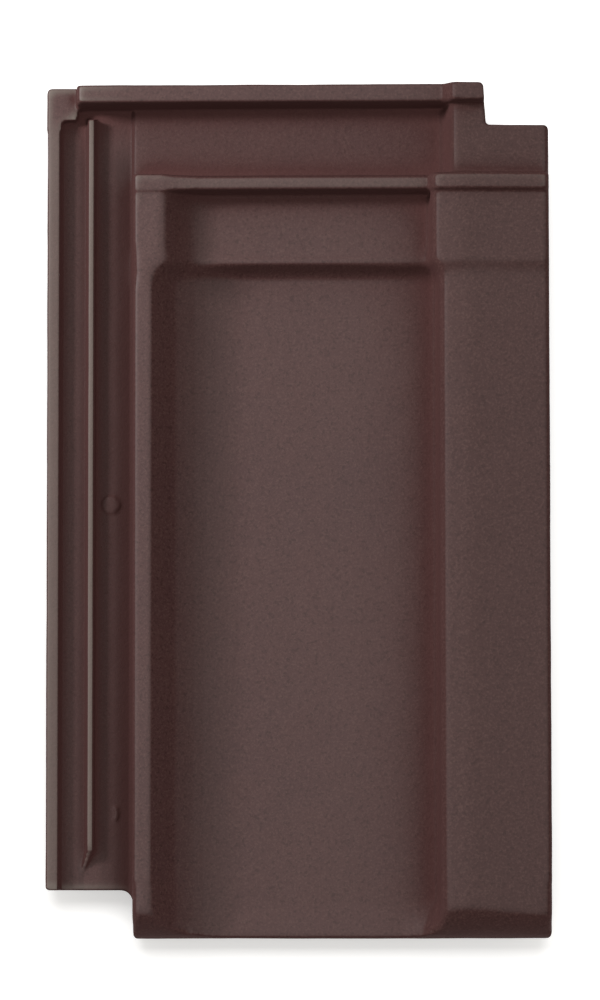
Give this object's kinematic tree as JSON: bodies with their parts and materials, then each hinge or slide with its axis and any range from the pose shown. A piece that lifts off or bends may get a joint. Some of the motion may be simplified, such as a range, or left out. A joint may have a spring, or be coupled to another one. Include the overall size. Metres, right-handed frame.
{
  "type": "interlocking clay roof tile",
  "caption": "Interlocking clay roof tile with a shallow trough, side-lock channels, head ribs, a raised cover roll and hanging nibs, laid in courses to shed rain",
  "frame": {"origin": "centre of the tile's outline, on the floor that it lies on", "axes": "+X across the tile to the cover roll, +Y up the slope to the head ribs, +Z out of the weather face"},
  "size_m": [0.277, 0.469, 0.0514],
  "materials": {
    "engobe": "dark brown satin engobe on fired clay"
  },
  "bodies": {
    "root": {"roof_tile": "engobe"}
  },
  "joints": []
}
